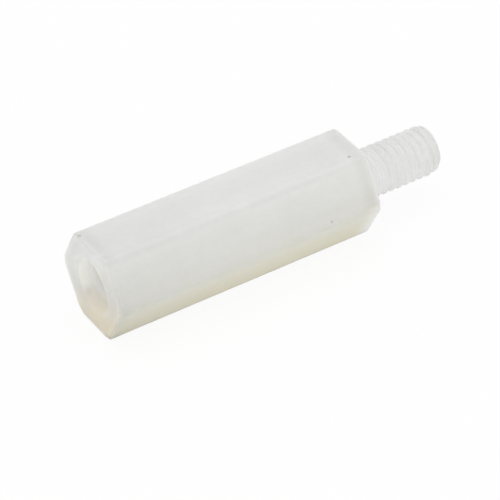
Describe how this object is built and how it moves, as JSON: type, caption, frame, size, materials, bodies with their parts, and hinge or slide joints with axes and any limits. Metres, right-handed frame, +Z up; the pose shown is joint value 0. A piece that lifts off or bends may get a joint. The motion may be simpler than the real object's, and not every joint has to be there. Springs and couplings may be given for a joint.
{
  "type": "hex standoff",
  "caption": "Male-female hex standoff in milky nylon: a hexagonal body with rounded long edges, a blind threaded hole in one end and a threaded stud on the other.",
  "frame": {"origin": "on the standoff's axis, in the plane of the shoulder that a board seats on", "axes": "+X along the axis out of the stud, +Z up from the flat that the standoff lies on"},
  "size_m": [0.0224, 0.0062, 0.0054],
  "materials": {
    "nylon": "satin moulded natural nylon, milky and faintly translucent"
  },
  "bodies": {
    "root": {"standoff": "nylon"}
  },
  "joints": []
}
